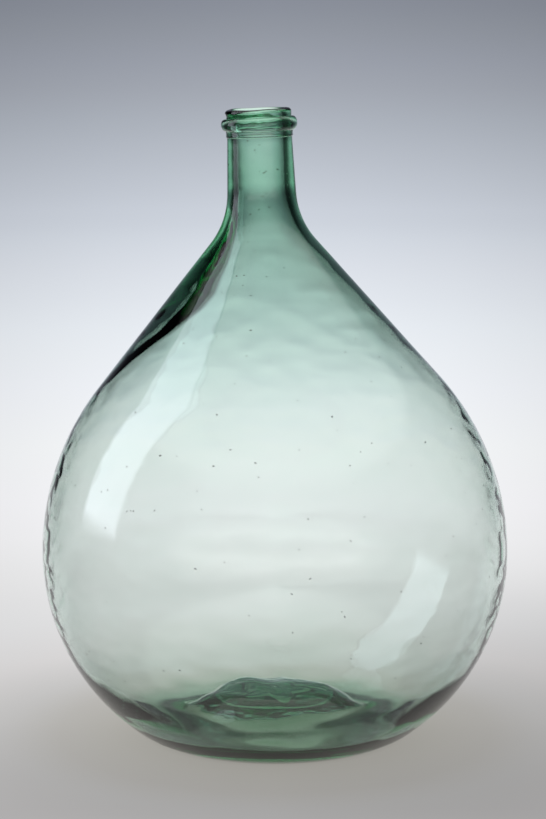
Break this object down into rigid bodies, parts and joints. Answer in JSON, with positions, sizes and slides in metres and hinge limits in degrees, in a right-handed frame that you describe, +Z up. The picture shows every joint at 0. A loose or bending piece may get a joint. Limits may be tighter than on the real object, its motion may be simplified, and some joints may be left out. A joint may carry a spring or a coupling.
{
  "type": "glass carboy",
  "caption": "Round-bellied green glass carboy for wine or beer, with a conical shoulder, a short leaning neck, an applied ring under the lip and a pushed-up base.",
  "frame": {"origin": "centre of the standing ring under the base, on the surface that the bottle stands on, which is the bottom centre of its bounding box", "axes": "+Z up; the bottle stands upright and its neck leans 2.1 degrees towards -X; the front that faces a viewer is -Y"},
  "size_m": [0.3399, 0.34, 0.4575],
  "materials": {
    "bottle_glass": "gloss",
    "ring_glass": "gloss"
  },
  "bodies": {
    "root": {"vessel": "bottle_glass", "neck_ring": "ring_glass"}
  },
  "joints": []
}
